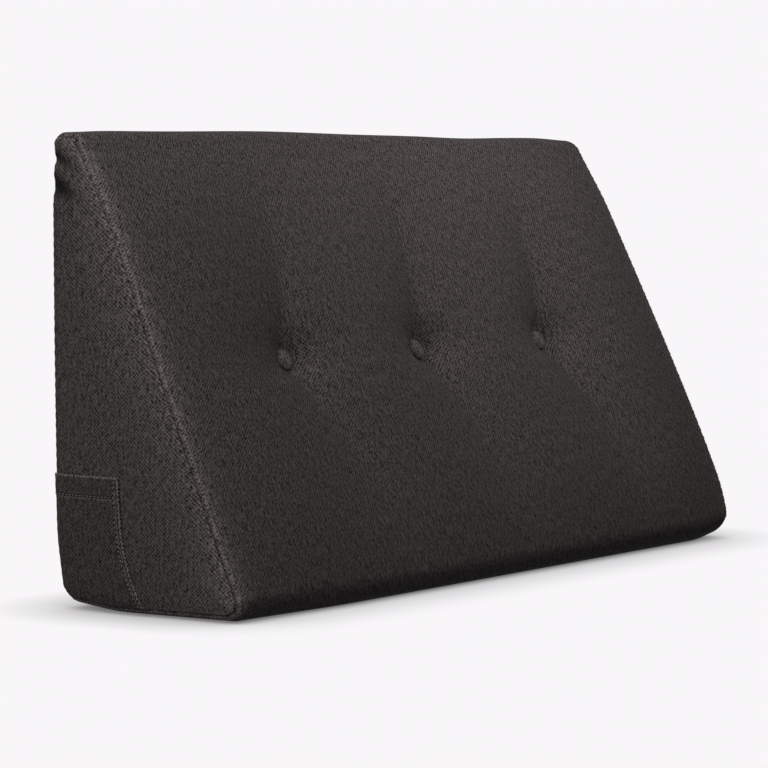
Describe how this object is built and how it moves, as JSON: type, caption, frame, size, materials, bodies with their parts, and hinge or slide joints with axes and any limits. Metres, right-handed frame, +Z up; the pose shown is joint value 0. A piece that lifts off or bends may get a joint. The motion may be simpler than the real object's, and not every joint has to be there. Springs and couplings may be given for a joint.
{
  "type": "wedge reading pillow",
  "caption": "Wide foam wedge pillow in charcoal woven cloth, with button-tufted sloping face, crowned panels, sewn edges and a patch pocket on one end.",
  "frame": {"origin": "on the floor under the middle of the outer box", "axes": "+X along the width, towards the end without a pocket; +Y from the sloping face to the upright back; +Z up"},
  "size_m": [1.0166, 0.2612, 0.5024],
  "materials": {
    "cover_cloth": "matt linen-look woven polyester, charcoal with fine lighter flecks",
    "button_cloth": "the cover's woven cloth, drawn tight over a button"
  },
  "bodies": {
    "root": {"wedge_cushion": "cover_cloth", "side_pocket": "cover_cloth", "button_1": "button_cloth", "button_2": "button_cloth", "button_3": "button_cloth"}
  },
  "joints": []
}
